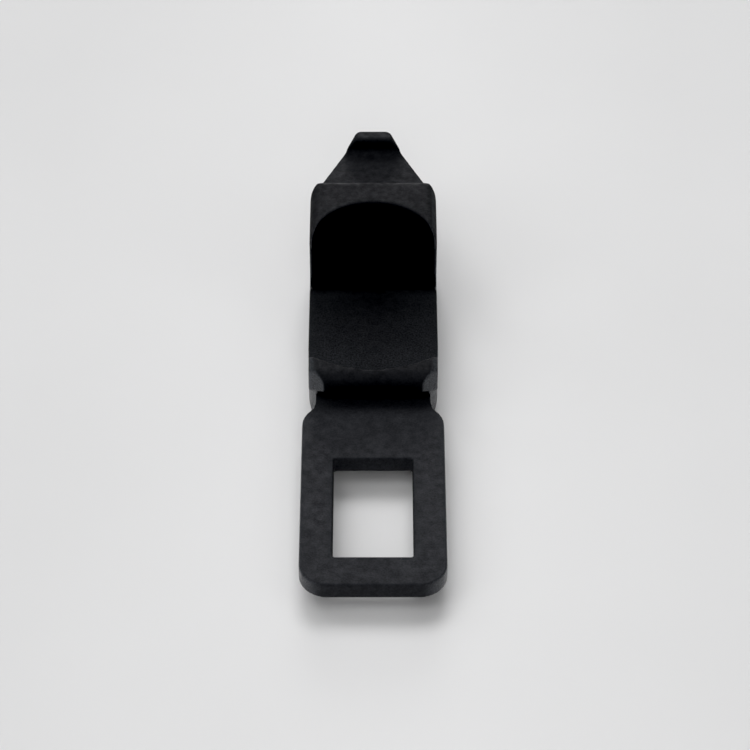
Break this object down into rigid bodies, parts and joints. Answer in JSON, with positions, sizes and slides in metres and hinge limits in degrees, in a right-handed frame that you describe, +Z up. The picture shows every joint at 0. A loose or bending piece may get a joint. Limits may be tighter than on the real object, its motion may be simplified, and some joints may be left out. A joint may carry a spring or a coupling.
{
  "type": "strap buckle",
  "caption": "Rigid strap buckle: flat latch tongue with a rectangular window, a block with a raised nose and a forked hook head, and a tapering thumb tab.",
  "frame": {"origin": "under the middle of the buckle's length and width, on the plane it lies on", "axes": "+Y along the buckle from the tongue's front edge to the tab's tip, +Z up, +X to the right seen from the tongue"},
  "size_m": [0.0248, 0.102, 0.0229],
  "materials": {
    "tongue": "grainy matte",
    "body": "grainy matte",
    "tab": "grainy matte"
  },
  "bodies": {
    "root": {"tongue_plate": "tongue", "hook_body": "body", "thumb_tab": "tab"}
  },
  "joints": []
}
